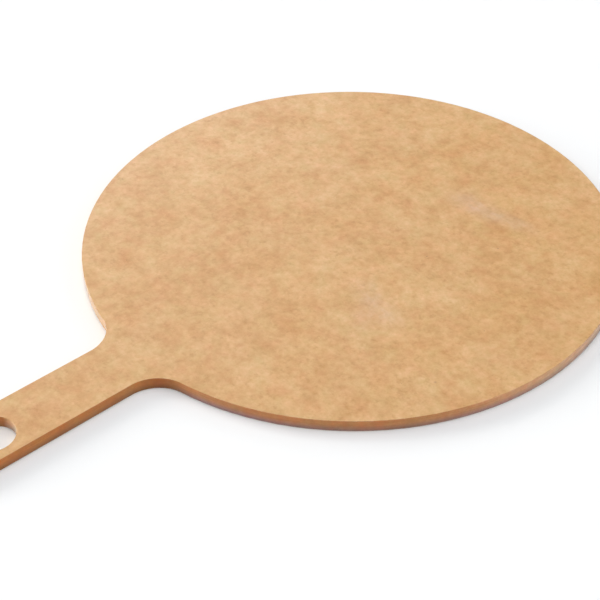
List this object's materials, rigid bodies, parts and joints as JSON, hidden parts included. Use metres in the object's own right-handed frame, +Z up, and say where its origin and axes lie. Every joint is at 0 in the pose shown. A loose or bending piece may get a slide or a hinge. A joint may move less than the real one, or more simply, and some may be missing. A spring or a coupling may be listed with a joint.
{
  "type": "pizza serving board",
  "caption": "Flat round serving board of pressed wood-fibre laminate with a straight round-ended handle and a hanging hole.",
  "frame": {"origin": "centre of the round plate, on the underside that the board rests on", "axes": "+Z up out of the serving face, the handle points to -Y, +X to the right with the handle towards the viewer"},
  "size_m": [0.305, 0.43, 0.0069],
  "materials": {
    "face_sheet": "smooth satin pressed wood fibre, mottled light tan",
    "core": "cut edge of pressed wood fibre, darker brown"
  },
  "bodies": {
    "root": {"top_face_sheet": "face_sheet", "core": "core", "bottom_face_sheet": "face_sheet"}
  },
  "joints": []
}
